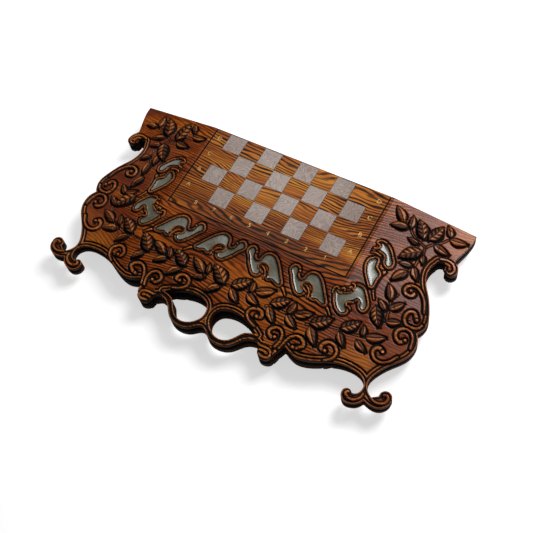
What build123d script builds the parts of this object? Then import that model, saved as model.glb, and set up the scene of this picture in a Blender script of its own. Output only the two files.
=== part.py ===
from build123d import *
import os

# Folded chess and backgammon case, millimetres, +Z up. The hinge edge runs along X on the +Y side,
# the handle points to -Y, and the case lies on the chess face of its lower half.
# Each half is drawn with its parting face at z = 0, its chess face at z = HALF_THICKNESS
# and its hinge edge at y = 0. A depth is a distance from the hinge edge towards the handle.

# Overall sizes
HALF_THICKNESS = 28.0
PARTING_GAP = 0.3
RIM_THICKNESS = 10.0
FLAT_HALF_WIDTH = 164.0
FLAT_DEPTH = 168.0
SIDE_SLOPE = 0.133
FRONT_SLOPE = 0.085

# Chess field
SQUARE = 33.0
EDGE_LIP = 0.8
COLUMNS = 8
ROWS = 4
TILE_CLEARANCE = 0.15
TILE_MARGIN = 0.15
TILE_THICKNESS = 2.0
FRAME_LINE_HALF_WIDTH = 159.0
FRAME_LINE_DEPTH = 158.0
FRAME_LINE_WIDTH = 1.6
FRAME_LINE_CUT = 1.0

# Resin windows in the carved border
WINDOW_RECESS = 1.6
WINDOW_THICKNESS = 2.5
WINDOW_CLEARANCE = 0.1
FRONT_WINDOW_PITCH = 75.0

# Playing hollow inside each half
POCKET_HALF_LENGTH = 205.0
POCKET_NEAR = 18.0
POCKET_FAR = 234.0
POCKET_CUT = 11.0
POCKET_CORNER = 6.0
PANEL_THICKNESS = 2.0
PANEL_CLEARANCE = 0.2
POINTS_PER_END = 6
POINT_BASE = 33.0
POINT_LENGTH = 165.0
POINT_CLEARANCE = 0.1

# Butt hinges
HINGE_CENTRE = 140.0
HINGE_LENGTH = 42.0
LEAF_WIDTH = 14.0
LEAF_THICKNESS = 1.6
LEAF_CLEARANCE = 0.2
KNUCKLE_RADIUS = 2.8
KNUCKLE_CLEARANCE = 0.4
KNUCKLE_GAP = 0.3
MIDDLE_KNUCKLE = 14.0
PIN_RADIUS = 1.2
PIN_CLEARANCE = 0.05
AXIS_OUT = 0.15

# Countersunk hinge screws
SCREW_PITCH = 26.0
SCREW_DEPTH = 8.5
SCREW_HEAD_RADIUS = 2.4
SCREW_HEAD_HEIGHT = 1.2
SCREW_SHANK_RADIUS = 1.2
SCREW_LENGTH = 10.0
SCREW_CLEARANCE = 0.1

# Closing magnets in the front rail
MAGNET_X = 150.0
MAGNET_DEPTH = 253.0
MAGNET_RADIUS = 5.0
MAGNET_THICKNESS = 3.0
MAGNET_CLEARANCE = 0.15

# Curls of the right side, each as centre x, centre depth and radius
SIDE_CURL = (289.5, 70.0, 10.0)
FOOT_CURL = (289.7, 294.5, 10.0)
TOE_CURL = (241.0, 313.5, 10.0)
SMALL_CURL = (106.2, 312.0, 12.0)

# Outline of the right side between the curls, as (x, depth) points
CORNER = (300.0, 0.0)
CORNER_EDGE = [CORNER, (299.5, 14), (294.5, 34)]
FLANK_UPPER = [(260.5, 87), (263.5, 102), (269.5, 113), (277.5, 124), (285, 137), (291, 150),
               (295, 164), (293.5, 176)]
WAIST = (288, 186)
FLANK_LOWER = [(293.5, 195), (295.5, 208), (293, 221), (285.5, 234), (275.5, 246), (266.5, 259),
               (260.5, 271), (258, 283), (261.5, 293)]
FOOT_HEEL = [(296, 306), (286, 313.5), (274, 314)]
FOOT_NOTCH = (264, 311)
TOE_SOLE = [FOOT_NOTCH, (257, 320.5)]
TOE_INSTEP = [(251, 306), (255, 298)]
ARCH_START = (252.5, 287)
FRONT_ARCH = [ARCH_START, (244, 279.5), (232, 276.5), (217, 276.5), (198, 281), (180, 290),
              (163.5, 296.5), (148.5, 298.5), (135, 294.5), (126.5, 290)]
GRIP_OUTSIDE = [(90, 304), (80, 302.5), (70, 306.5), (61, 316), (52, 326), (34, 332),
                (16, 327.5), (5.5, 319), (0, 317)]

# Finger hole, from its sharp end round its rounded one
HOLE_TIP = (83, 294)
HOLE_LOWER = [HOLE_TIP, (74, 295), (63, 300), (56, 309), (47, 319), (34, 323.5), (19, 319), (8, 308)]
HOLE_UPPER = [(8, 308), (5.5, 295), (11, 283), (22, 277.5), (38, 276), (56, 280), (71, 287), HOLE_TIP]

# Windows, as closed outlines of (x, depth) points
UPPER_CRESCENT = [(181, 79), (189, 80.5), (196, 86), (203, 95), (208.5, 105), (206.5, 110.5),
                  (200.5, 108), (198, 100), (193, 94), (186, 92), (180.5, 89), (182.5, 84)]
LOWER_TEARDROP = [(184, 108), (177.5, 117), (179, 127), (184, 136), (191, 145), (197.5, 151.5),
                  (198, 139), (198.5, 129), (191, 123), (187.5, 114)]
CORNER_BUTTERFLY = [(182, 161), (189, 162), (196, 169), (202, 177), (205, 184), (203, 191),
                    (198.5, 189), (194.5, 180), (188.5, 178.5), (184, 184), (177, 190), (176, 195),
                    (180, 200), (182, 205), (178, 209), (171.5, 207), (163, 198), (158, 188),
                    (155.5, 180), (162, 179), (169, 177.5), (176, 172.5), (178.5, 166)]
FRONT_PAISLEY = [(6, 175), (10, 172.5), (14, 176.5), (15.5, 183), (19.5, 188.5), (25.5, 190),
                 (30.5, 186.5), (32, 180), (34.5, 175), (39, 172.5), (46, 173.5), (54, 180),
                 (62, 190), (70, 201), (74, 208.5), (67, 208), (60, 206), (52.5, 207.5), (50.5, 202),
                 (48, 194.5), (43.5, 189.5), (37, 187.5), (31.5, 190), (31, 194), (34.5, 199),
                 (37, 203.5), (35, 208.5), (30, 209.5), (23.5, 204.5), (15.5, 195), (9, 185)]

# Carved relief: a collar round each window, leaves, and the eyes of the scrolls
COLLAR_WIDTH = 3.0
COLLAR_RISE = 0.9
LEAF_RISE = 1.2
LEAF_HALF_SHARE = 0.24
EYE_RISE = 1.4
SCROLL_EYE_RADIUS = 2.9
CURL_EYE_RADIUS = 3.3
SCROLL_EYES = [(253, 129), (270, 170), (273, 199), (254, 238), (184, 268), (141, 278), (108, 279),
               (66, 267)]

# Leaves, each as tip x, tip depth, foot x and foot depth
LEAVES = [
    (-251, 10, -235, 43), (-210, 8, -215, 46), (-213, 91, -230, 60), (-239, 198, -215, 170),
    (-209, 211, -183, 231), (-163, 221, -141, 248), (-100, 226, -74, 245), (-32, 223, -3, 245),
    (33, 221, 9, 242), (102, 224, 77, 242), (172, 224, 145, 245), (209, 209, 188, 231),
    (235, 203, 218, 176), (213, 89, 239, 64), (213, 16, 232, 43), (250, 10, 239, 41),
    (-284, 36, -264, 32), (-262, 9, -261, 31), (-259, 58, -237, 47), (-201, 7, -192, 23),
    (-167, 28, -190, 31), (-187, 54, -212, 49), (-251, 73, -235, 64), (-224, 105, -224, 82),
    (-251, 103, -239, 91), (-230, 128, -231, 103), (-235, 157, -224, 133), (-251, 158, -237, 172),
    (-219, 160, -237, 170), (-256, 185, -240, 196), (-252, 211, -226, 224), (-219, 208, -213, 225),
    (-236, 241, -211, 231), (-202, 253, -186, 234), (-140, 227, -115, 240), (-111, 226, -104, 243),
    (-124, 258, -106, 245), (-158, 269, -146, 250), (-68, 226, -42, 242), (-40, 224, -36, 240),
    (-53, 256, -36, 248), (-93, 269, -77, 248), (-23, 268, -6, 248), (38, 221, 41, 239),
    (74, 221, 47, 235), (30, 263, 11, 245), (60, 253, 37, 242), (111, 224, 108, 245),
    (142, 229, 117, 242), (128, 261, 107, 247), (95, 268, 77, 247), (166, 272, 147, 247),
    (215, 210, 220, 226), (251, 213, 225, 226), (234, 246, 215, 236), (203, 254, 188, 236),
    (261, 182, 240, 191), (216, 165, 232, 176), (252, 153, 236, 171), (218, 135, 232, 158),
    (219, 128, 234, 104), (252, 111, 239, 92), (216, 97, 236, 92), (249, 82, 242, 67),
    (210, 53, 228, 55), (255, 4, 267, 20), (293, 20, 267, 25), (275, 50, 250, 43), (173, 11, 194, 31),
    (202, 14, 207, 35), (178, 45, 203, 37)]

PARTING_HEIGHT = HALF_THICKNESS + PARTING_GAP / 2


def spot(point):
    return Vector(point[0], -point[1])


def curve(points):
    return Spline(*[spot(p) for p in points])


def arc(start, through, end):
    return ThreePointArc(spot(start), spot(through), spot(end))


def straight(start, end):
    return Line(spot(start), spot(end))


def both_sides(shape):
    return shape + mirror(shape, about=Plane.YZ)


def beside(curl, across, down):
    # A spot counted in radii from a curl's centre.
    x, depth, radius = curl
    return (x + across * radius, depth + down * radius)


def side_edges():
    neck = beside(SIDE_CURL, -0.1, -1.6)
    out = beside(SIDE_CURL, 1, 0)
    inside = beside(SIDE_CURL, -1, 0)
    flank = beside(SIDE_CURL, -2.45, 0)
    return [curve(CORNER_EDGE + [neck]),
            arc(neck, beside(SIDE_CURL, 0.75, -0.85), out),
            arc(out, beside(SIDE_CURL, 0, 1), inside),
            arc(inside, beside(SIDE_CURL, -1.7, -0.7), flank),
            curve([flank] + FLANK_UPPER + [WAIST])]


def foot_edges():
    ankle = beside(FOOT_CURL, -1.77, 0.75)
    inside = beside(FOOT_CURL, -0.92, 0.15)
    out = beside(FOOT_CURL, 0.93, 0.05)
    return [curve([WAIST] + FLANK_LOWER + [ankle]),
            straight(ankle, inside),
            arc(inside, beside(FOOT_CURL, 0.03, -1.05), out),
            curve([out] + FOOT_HEEL + [FOOT_NOTCH])]


def toe_edges():
    sole = beside(TOE_CURL, 0.5, 1.15)
    tip = beside(TOE_CURL, -1, -0.45)
    instep = beside(TOE_CURL, 0.3, -0.55)
    return [curve(TOE_SOLE + [sole]),
            arc(sole, beside(TOE_CURL, -0.8, 0.65), tip),
            arc(tip, beside(TOE_CURL, -0.35, -0.9), instep),
            curve([instep] + TOE_INSTEP + [ARCH_START])]


def front_edges():
    out = beside(SMALL_CURL, 1.03, -0.17)
    inside = beside(SMALL_CURL, -1.02, 0.08)
    return [curve(FRONT_ARCH),
            straight(FRONT_ARCH[-1], out),
            arc(out, beside(SMALL_CURL, -0.02, 0.88), inside),
            curve([inside] + GRIP_OUTSIDE),
            straight(GRIP_OUTSIDE[-1], (0, 0))]


def right_outline():
    return make_face([straight((0, 0), CORNER)] + side_edges() + foot_edges() + toe_edges() + front_edges())


def finger_hole():
    return make_face([curve(HOLE_LOWER), curve(HOLE_UPPER)])


def board_outline():
    return both_sides(right_outline() - finger_hole())


def inset_points(points, distance):
    # Each point moves inwards, square to the chord between its two neighbours.
    spots = [spot(p) for p in points]
    chords = [spots[(i + 1) % len(spots)] - spots[i - 1] for i in range(len(spots))]
    turning = sum(spots[i - 1].cross(spots[i]).Z for i in range(len(spots)))
    quarter_turn = 90 if turning > 0 else -90
    return [place + chord.normalized().rotate(Axis.Z, quarter_turn) * distance
            for place, chord in zip(spots, chords)]


def closed_spline(points, inset):
    return make_face(Spline(*inset_points(points, inset), periodic=True))


def front_paisley(number, inset):
    return Pos(number * FRONT_WINDOW_PITCH, 0) * closed_spline(FRONT_PAISLEY, inset)


def window_shapes(inset=0.0):
    return {"front_inner_windows": front_paisley(0, inset),
            "front_outer_windows": front_paisley(1, inset),
            "corner_windows": closed_spline(CORNER_BUTTERFLY, inset),
            "side_lower_windows": closed_spline(LOWER_TEARDROP, inset),
            "side_upper_windows": closed_spline(UPPER_CRESCENT, inset)}


def sloped_block(below):
    # The flat chess field and the planes that fall away from it, all lowered by the same amount.
    top = HALF_THICKNESS - below
    block = Pos(0, -CORNER[0], HALF_THICKNESS) * Box(3 * CORNER[0], 3 * CORNER[0], 2 * HALF_THICKNESS)
    for side in (-1, 0, 1):
        for front in (0, 1):
            corner = (side * FLAT_HALF_WIDTH, -FLAT_DEPTH, top)
            outward = (side * SIDE_SLOPE, -front * FRONT_SLOPE, 1)
            block = split(block, bisect_by=Plane(corner, z_dir=outward), keep=Keep.BOTTOM)
    return block


def window_inlays():
    face = sloped_block(WINDOW_RECESS)
    back = sloped_block(WINDOW_RECESS + WINDOW_THICKNESS)
    inlays = {}
    for name, shape in window_shapes(WINDOW_CLEARANCE).items():
        inlay = (extrude(shape, HALF_THICKNESS) & face) - back
        inlays[name] = [inlay, mirror(inlay, about=Plane.YZ)]
    return inlays


def leaf_face(tip_x, tip_depth, foot_x, foot_depth):
    tip = spot((tip_x, tip_depth))
    foot = spot((foot_x, foot_depth))
    sideways = (tip - foot).rotate(Axis.Z, 90) * LEAF_HALF_SHARE
    middle = (tip + foot) * 0.5
    return make_face([ThreePointArc(foot, middle + sideways, tip), ThreePointArc(tip, middle - sideways, foot)])


def eye_faces():
    scroll = [Pos(spot(place)) * Circle(SCROLL_EYE_RADIUS) for place in SCROLL_EYES]
    curls = [Pos(spot(curl[:2])) * Circle(CURL_EYE_RADIUS) for curl in (SIDE_CURL, FOOT_CURL, TOE_CURL, SMALL_CURL)]
    return scroll + curls


def raised(faces, rise):
    # The ornament ends in a surface above the carved border, and never stands above the chess field.
    surface = sloped_block(-rise) + Pos(0, -CORNER[0], (RIM_THICKNESS + rise) / 2) * Box(
        3 * CORNER[0], 3 * CORNER[0], RIM_THICKNESS + rise)
    return [extrude(face, HALF_THICKNESS) & surface for face in faces]


def carved_relief():
    collars = []
    for outer, opening in zip(window_shapes(-COLLAR_WIDTH).values(), window_shapes().values()):
        collars += raised([outer - opening], COLLAR_RISE)
    eyes = raised(eye_faces(), EYE_RISE)
    leaves = raised([leaf_face(*leaf) for leaf in LEAVES], LEAF_RISE)
    mirrored = [mirror(piece, about=Plane.YZ) for piece in collars + eyes]
    return collars + eyes + mirrored + leaves


def tile_places(light_parity):
    return [Pos((column - (COLUMNS - 1) / 2) * SQUARE, -EDGE_LIP - (row + 0.5) * SQUARE, HALF_THICKNESS)
            for column in range(COLUMNS) for row in range(ROWS) if (column + row) % 2 == light_parity]


def square_slabs(size, light_parity):
    slab = Pos(0, 0, -TILE_THICKNESS / 2) * Box(size, size, TILE_THICKNESS)
    return [place * slab for place in tile_places(light_parity)]


def frame_line():
    outer = Pos(0, -FRAME_LINE_DEPTH / 2) * Rectangle(2 * FRAME_LINE_HALF_WIDTH, FRAME_LINE_DEPTH)
    inner = offset(outer, -FRAME_LINE_WIDTH, kind=Kind.INTERSECTION)
    open_edge = Rectangle(2 * (FRAME_LINE_HALF_WIDTH - FRAME_LINE_WIDTH), 4 * FRAME_LINE_WIDTH)
    line = outer - inner - open_edge
    return Pos(0, 0, HALF_THICKNESS - FRAME_LINE_CUT) * extrude(line, FRAME_LINE_CUT)


def pocket_shape(clearance=0.0):
    length = 2 * (POCKET_HALF_LENGTH - clearance)
    width = POCKET_FAR - POCKET_NEAR - 2 * clearance
    return Pos(0, -(POCKET_NEAR + POCKET_FAR) / 2) * RectangleRounded(length, width, POCKET_CORNER)


def point_triangle(end, number, clearance):
    pitch = (POCKET_FAR - POCKET_NEAR) / POINTS_PER_END
    root = end * (POCKET_HALF_LENGTH - POCKET_CORNER)
    depth = POCKET_NEAR + (number + 0.5) * pitch
    half_base = POINT_BASE / 2
    corners = [(root, depth - half_base), (root, depth + half_base), (root - end * POINT_LENGTH, depth)]
    face = make_face(Polyline(*[spot(p) for p in corners], close=True))
    return offset(face, clearance, kind=Kind.INTERSECTION) if clearance else face


def points_of(parity, clearance=0.0):
    return [extrude(Pos(0, 0, POCKET_CUT - PANEL_THICKNESS) * point_triangle(end, number, clearance),
                    PANEL_THICKNESS)
            for end in (-1, 1) for number in range(POINTS_PER_END) if (number + (end > 0)) % 2 == parity]


def play_panel():
    blank = Pos(0, 0, POCKET_CUT - PANEL_THICKNESS) * pocket_shape(PANEL_CLEARANCE)
    return extrude(blank, PANEL_THICKNESS) - points_of(0) - points_of(1)


def hinge_axis(x):
    return Pos(x, AXIS_OUT, -PARTING_GAP / 2) * Rot(0, 90, 0)


def hinge_mortise(x):
    length = HINGE_LENGTH + 2 * KNUCKLE_CLEARANCE
    width = LEAF_WIDTH + LEAF_CLEARANCE
    leaf_seat = Pos(x, -width / 2, LEAF_THICKNESS / 2) * Box(length, width, LEAF_THICKNESS)
    barrel = hinge_axis(x) * Cylinder(KNUCKLE_RADIUS + KNUCKLE_CLEARANCE, length)
    return leaf_seat + barrel


def screw_places(x):
    return [Pos(x + side * SCREW_PITCH / 2, -SCREW_DEPTH, 0) for side in (-1, 1)]


def screw(clearance=0.0):
    head = Pos(0, 0, SCREW_HEAD_HEIGHT / 2) * Cone(SCREW_HEAD_RADIUS + clearance,
                                                   SCREW_SHANK_RADIUS + clearance, SCREW_HEAD_HEIGHT)
    shank = Pos(0, 0, SCREW_LENGTH / 2) * Cylinder(SCREW_SHANK_RADIUS + clearance, SCREW_LENGTH)
    return head + shank


def hinge_screws(clearance=0.0):
    return [place * screw(clearance) for x in (-HINGE_CENTRE, HINGE_CENTRE) for place in screw_places(x)]


def outer_knuckles():
    length = (HINGE_LENGTH - MIDDLE_KNUCKLE) / 2 - KNUCKLE_GAP
    middle = (HINGE_LENGTH - length) / 2
    return [(-middle, length), (middle, length)]


def middle_knuckle():
    return [(0, MIDDLE_KNUCKLE)]


def hinge_leaf(x, knuckles):
    clear = AXIS_OUT - KNUCKLE_RADIUS - KNUCKLE_CLEARANCE
    width = LEAF_WIDTH + clear
    leaf = Pos(x, clear - width / 2, LEAF_THICKNESS / 2) * Box(HINGE_LENGTH, width, LEAF_THICKNESS)
    for middle, length in knuckles:
        reach = AXIS_OUT - clear
        leaf += Pos(x + middle, clear + reach / 2, LEAF_THICKNESS / 2) * Box(length, reach, LEAF_THICKNESS)
        leaf += hinge_axis(x + middle) * Cylinder(KNUCKLE_RADIUS, length)
    leaf -= hinge_axis(x) * Cylinder(PIN_RADIUS + PIN_CLEARANCE, HINGE_LENGTH + 2 * KNUCKLE_GAP)
    return leaf - [place * screw(SCREW_CLEARANCE) for place in screw_places(x)]


def magnets(clearance=0.0):
    depth = MAGNET_THICKNESS + clearance
    disc = Pos(0, -MAGNET_DEPTH, depth / 2) * Cylinder(MAGNET_RADIUS + clearance, depth)
    return [Pos(side * MAGNET_X, 0) * disc for side in (-1, 1)]


def slab_blank():
    outline = board_outline()
    slab = extrude(outline, HALF_THICKNESS) & sloped_block(0)
    slab += extrude(outline, RIM_THICKNESS)
    slab += carved_relief()
    floor = sloped_block(WINDOW_RECESS + WINDOW_THICKNESS)
    for shape in window_shapes().values():
        slab -= both_sides(extrude(shape, HALF_THICKNESS) - floor)
    slab -= frame_line()
    slab -= extrude(pocket_shape(), POCKET_CUT)
    slab -= [hinge_mortise(x) for x in (-HINGE_CENTRE, HINGE_CENTRE)]
    slab -= hinge_screws(SCREW_CLEARANCE)
    return slab - magnets(MAGNET_CLEARANCE)


def half_case(blank, light_parity, knuckles):
    tile = SQUARE - 2 * (TILE_MARGIN + TILE_CLEARANCE)
    nodes = {"carved_slab": blank - square_slabs(SQUARE - 2 * TILE_MARGIN, light_parity),
             "chess_tiles": square_slabs(tile, light_parity),
             "play_panel": play_panel(),
             "light_points": points_of(0, -POINT_CLEARANCE),
             "dark_points": points_of(1, -POINT_CLEARANCE),
             "magnets": magnets(),
             "hinge_screws": hinge_screws(),
             "left_hinge_leaf": hinge_leaf(-HINGE_CENTRE, knuckles),
             "right_hinge_leaf": hinge_leaf(HINGE_CENTRE, knuckles)}
    nodes.update(window_inlays())
    return nodes


def hinge_pins():
    pin = Cylinder(PIN_RADIUS, HINGE_LENGTH)
    return {"left_hinge_pin": hinge_axis(-HINGE_CENTRE) * pin,
            "right_hinge_pin": hinge_axis(HINGE_CENTRE) * pin}


def grouped(shape):
    pieces = shape if isinstance(shape, list) else [shape]
    solids = [solid for piece in pieces for solid in piece.solids()]
    return Compound(solids) if len(solids) > 1 else solids[0]


def all_nodes():
    lift = Pos(0, 0, HALF_THICKNESS + PARTING_GAP)
    blank = slab_blank()
    nodes = {}
    for name, shape in half_case(blank, 1, outer_knuckles()).items():
        nodes["lower_" + name] = Pos(0, 0, HALF_THICKNESS) * mirror(grouped(shape), about=Plane.XY)
    for name, shape in half_case(blank, 0, middle_knuckle()).items():
        nodes["upper_" + name] = lift * grouped(shape)
    for name, shape in hinge_pins().items():
        nodes[name] = lift * shape
    return nodes


def main():
    os.makedirs("parts", exist_ok=True)
    front = board_outline().bounding_box().min.Y
    back = AXIS_OUT + KNUCKLE_RADIUS
    centring = Pos(0, -(front + back) / 2, 0)
    for name, shape in all_nodes().items():
        export_step(centring * shape, f"parts/{name}.step")
    axis = centring.position.Y + AXIS_OUT
    print(f"board depth {back - front:.3f}, hinge axis y {axis:.4f}, z {PARTING_HEIGHT:.3f}")
    print(f"hinge edge y {centring.position.Y:.4f}")


main()
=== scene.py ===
import bpy
import bmesh
import math
import numpy as np
from mathutils import Matrix, Vector


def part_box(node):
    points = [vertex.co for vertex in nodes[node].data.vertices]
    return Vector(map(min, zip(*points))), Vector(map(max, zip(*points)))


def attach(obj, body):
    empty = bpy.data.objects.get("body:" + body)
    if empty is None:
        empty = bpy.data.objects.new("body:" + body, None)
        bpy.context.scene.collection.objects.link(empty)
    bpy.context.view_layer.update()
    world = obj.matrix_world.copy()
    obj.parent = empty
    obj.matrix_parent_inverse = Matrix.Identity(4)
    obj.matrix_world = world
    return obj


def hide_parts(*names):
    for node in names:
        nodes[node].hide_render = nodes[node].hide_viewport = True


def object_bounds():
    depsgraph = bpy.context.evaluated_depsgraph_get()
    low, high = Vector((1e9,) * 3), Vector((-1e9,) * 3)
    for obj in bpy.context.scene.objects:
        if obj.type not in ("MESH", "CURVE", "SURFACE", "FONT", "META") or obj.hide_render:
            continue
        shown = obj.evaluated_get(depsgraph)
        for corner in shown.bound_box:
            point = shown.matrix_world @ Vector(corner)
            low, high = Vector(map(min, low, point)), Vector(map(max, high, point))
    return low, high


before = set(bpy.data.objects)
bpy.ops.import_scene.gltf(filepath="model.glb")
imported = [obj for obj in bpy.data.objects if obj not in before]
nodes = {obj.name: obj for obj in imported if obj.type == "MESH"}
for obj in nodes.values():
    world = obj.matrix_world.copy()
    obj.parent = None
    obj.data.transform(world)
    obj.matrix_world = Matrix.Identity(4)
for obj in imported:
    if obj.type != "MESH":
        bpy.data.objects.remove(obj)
cadBox = [list(corner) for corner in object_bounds()]
mm = 0.001
print("frame loaded")

# The case: chess face up for the upper half, mirrored below the parting plane for the lower one.
# A depth is measured from the hinge edge towards the handle, and a height from the parting plane, in mm.
case = {
    "gridStep": 0.8, "snap": 0.3, "merge": 1e-5,
    "halfWidth": 300.8, "reach": 336.0, "hingeHalfWidth": 300.0, "rimHeight": 10.0,
    "flatHalfWidth": 164.0, "flatDepth": 168.0, "sideSlope": 0.133, "frontSlope": 0.085, "fieldDepth": 160.0,
}
upperLow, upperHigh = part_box("upper_carved_slab")
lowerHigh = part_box("lower_carved_slab")[1]
hingeEdge = upperHigh.y / mm
fullHeight = (upperHigh.z - upperLow.z) / mm
partingOf = {"upper": upperLow.z, "lower": lowerHigh.z}
facing = {"upper": 1, "lower": -1}


# Shapes read from the CAD

reading = {"cutHeight": 5.0, "hollowMargin": 2.0, "hingeMargin": 1.0, "levelFace": 0.7, "steepFace": 0.5}


def mergedCopy(node):
    mesh = bmesh.new()
    mesh.from_mesh(nodes[node].data)
    bmesh.ops.remove_doubles(mesh, verts=mesh.verts, dist=1e-6)
    return mesh


def planSegments(edges):
    return np.array([[(v.co.x / mm, hingeEdge - v.co.y / mm) for v in e.verts] for e in edges])


def cutAcross(mesh, place, normal):
    everything = mesh.verts[:] + mesh.edges[:] + mesh.faces[:]
    return bmesh.ops.bisect_plane(mesh, geom=everything, plane_co=place, plane_no=normal)["geom_cut"]


def outlineSegments():
    # The slab is cut a little above the parting face, and the hollow's own edges are left out.
    mesh = mergedCopy("upper_carved_slab")
    cut = cutAcross(mesh, (0, 0, upperLow.z + reading["cutHeight"] * mm), (0, 0, 1))
    segments = planSegments([e for e in cut if isinstance(e, bmesh.types.BMEdge)])
    mesh.free()
    middle = segments.mean(axis=1)
    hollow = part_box("upper_play_panel")
    reach = hollow[1].x / mm + reading["hollowMargin"]
    farEnd = hingeEdge - hollow[0].y / mm + reading["hollowMargin"]
    inHollow = (abs(middle[:, 0]) < reach) & (middle[:, 1] > reading["hingeMargin"]) & (middle[:, 1] < farEnd)
    return segments[~inHollow]


def windowSegments(node):
    mesh = mergedCopy(node)
    rimEdges = [e for e in mesh.edges if len(e.link_faces) == 2
                and max(f.normal.z for f in e.link_faces) > reading["levelFace"]
                and min(abs(f.normal.z) for f in e.link_faces) < reading["steepFace"]]
    segments = planSegments(rimEdges)
    mesh.free()
    return segments


# Plane geometry on arrays of points

def nearestOn(points, segments, block=1500):
    # Distance to the nearest segment, how far along all of them it lies, and the nearest point itself
    start = segments[:, 0]
    along = segments[:, 1] - start
    length = np.maximum((along ** 2).sum(axis=1), 1e-9)
    distance = np.empty(len(points))
    share = np.empty(len(points))
    foot = np.empty((len(points), 2))
    for i in range(0, len(points), block):
        offset = points[i:i + block, None] - start
        t = np.clip((offset * along).sum(axis=2) / length, 0, 1)
        gap = offset - t[..., None] * along
        squared = (gap ** 2).sum(axis=2)
        best = squared.argmin(axis=1)
        rows = np.arange(len(best))
        distance[i:i + block] = np.sqrt(squared[rows, best])
        share[i:i + block] = (best + t[rows, best]) / len(segments)
        foot[i:i + block] = points[i:i + block] - gap[rows, best]
    return distance, share, foot


def insideOf(points, segments, nudge=0.003):
    # Crossings are counted row by row, and the nudge keeps a row off the corners.
    inside = np.zeros(len(points), bool)
    rows, rowOf = np.unique(points[:, 1], return_inverse=True)
    low = segments[..., 1].min(axis=1)
    high = segments[..., 1].max(axis=1)
    for number, row in enumerate(rows + nudge):
        hit = segments[(low <= row) & (high > row)]
        if not len(hit):
            continue
        rise = hit[:, 1, 1] - hit[:, 0, 1]
        crossing = hit[:, 0, 0] + (row - hit[:, 0, 1]) / rise * (hit[:, 1, 0] - hit[:, 0, 0])
        here = np.nonzero(rowOf == number)[0]
        inside[here] = np.searchsorted(np.sort(crossing), points[here, 0]) % 2 == 1
    return inside


def dome(s):
    return np.sqrt(np.clip(1 - s * s, 0, 1))


def hill(s):
    return np.clip(1 - s * s, 0, 1) ** 2


def smoothPath(points, steps=10):
    spots = np.array([points[0], *points, points[-1]], float)
    path = []
    for a, b, c, d in zip(spots, spots[1:], spots[2:], spots[3:]):
        for t in np.arange(steps) / steps:
            path.append(0.5 * (2 * b + (c - a) * t + (2 * a - 5 * b + 4 * c - d) * t * t
                               + (3 * b - a - 3 * c + d) * t ** 3))
    path.append(spots[-1])
    return np.array(path)


def joined(path):
    return np.stack([path[:-1], path[1:]], axis=1)


def onSide(spots, side):
    return [(side * x, depth) for x, depth in spots]


# Carved relief, as changes of height and of painted shade and painted highlight at points of the plan.
# Painted shade darkens the cuts and the flanks of raised work, and painted highlight lightens the tops of
# ridges.

def baseHeight(points):
    sideways = np.maximum(np.abs(points[:, 0]) - case["flatHalfWidth"], 0)
    forward = np.maximum(points[:, 1] - case["flatDepth"], 0)
    slope = fullHeight - case["sideSlope"] * sideways - case["frontSlope"] * forward
    return np.maximum(slope, case["rimHeight"])


class Relief:
    grooveShade = 5

    def __init__(self, points):
        self.points = points
        self.height = baseHeight(points)
        self.base = self.height.copy()
        self.paintedShade = np.zeros(len(points))
        self.paintedHighlight = np.zeros(len(points))

    def near(self, path, margin):
        low = path.reshape(-1, 2).min(axis=0) - margin
        high = path.reshape(-1, 2).max(axis=0) + margin
        return np.nonzero(((self.points > low) & (self.points < high)).all(axis=1))[0]

    def groove(self, rows, offset, halfWidth, depth):
        cut = hill(offset / halfWidth)
        self.height[rows] = np.minimum(self.height[rows], self.base[rows] - depth * cut)
        # Painted shade in the cut, where the painted highlight is taken away
        self.paintedShade[rows] = np.maximum(self.paintedShade[rows], np.clip(cut * self.grooveShade, 0, 1))
        self.paintedHighlight[rows] *= 1 - cut

    def lift(self, rows, rise, paintedShade, paintedHighlight):
        self.height[rows] = self.base[rows] + rise
        self.paintedShade[rows] = paintedShade
        self.paintedHighlight[rows] = paintedHighlight


rim = {
    "beadMiddle": 5.6, "beadHalf": 1.7, "beadRise": 1.0, "beadHighlight": 0.6,
    "lipMiddle": 1.2, "lipHalf": 1.4, "lipRise": 0.6, "lipDrop": 1.2, "lipEase": 1.5, "lipHighlight": 0.7,
    "outerGroove": 3.2, "innerGroove": 8.1, "grooveHalf": 1.9, "grooveDepth": 2.8, "width": 14.0,
    "plainDepth": 56.0, "hook": (289.5, 70), "hookRadius": 14.0,
    "curls": [(286, 68, 12), (286, 298, 13), (247, 312, 13), (105, 310, 15)], "curlEdge": 4.4,
}


def carveRim(relief, distance):
    # Beads follow the outline, except along the hinge edge and its plain corners. Inside the curls
    # only the lip does, because they have ridges of their own.
    x, depth = relief.points.T
    hookX, hookDepth = rim["hook"]
    bare = (depth < rim["plainDepth"]) & (np.hypot(np.abs(x) - hookX, depth - hookDepth) > rim["hookRadius"])
    for curlX, curlDepth, radius in rim["curls"]:
        bare |= (np.hypot(np.abs(x) - curlX, depth - curlDepth) < radius) & (distance > rim["curlEdge"])
    rows = np.nonzero(~bare & (distance < rim["width"]))[0]
    d = distance[rows]
    lip = hill((d - rim["lipMiddle"]) / rim["lipHalf"])
    bead = dome((d - rim["beadMiddle"]) / rim["beadHalf"])
    relief.height[rows] -= rim["lipDrop"] * np.clip((rim["outerGroove"] - d) / rim["lipEase"], 0, 1)
    relief.height[rows] += rim["lipRise"] * lip
    relief.height[rows] += rim["beadRise"] * bead
    # Painted highlight on the top of the bead and on the lip; the grooves get painted shade
    relief.paintedHighlight[rows] = rim["beadHighlight"] * np.maximum(bead ** 3, rim["lipHighlight"] * lip)
    for middle in (rim["outerGroove"], rim["innerGroove"]):
        relief.groove(rows, d - middle, rim["grooveHalf"], rim["grooveDepth"])


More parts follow.
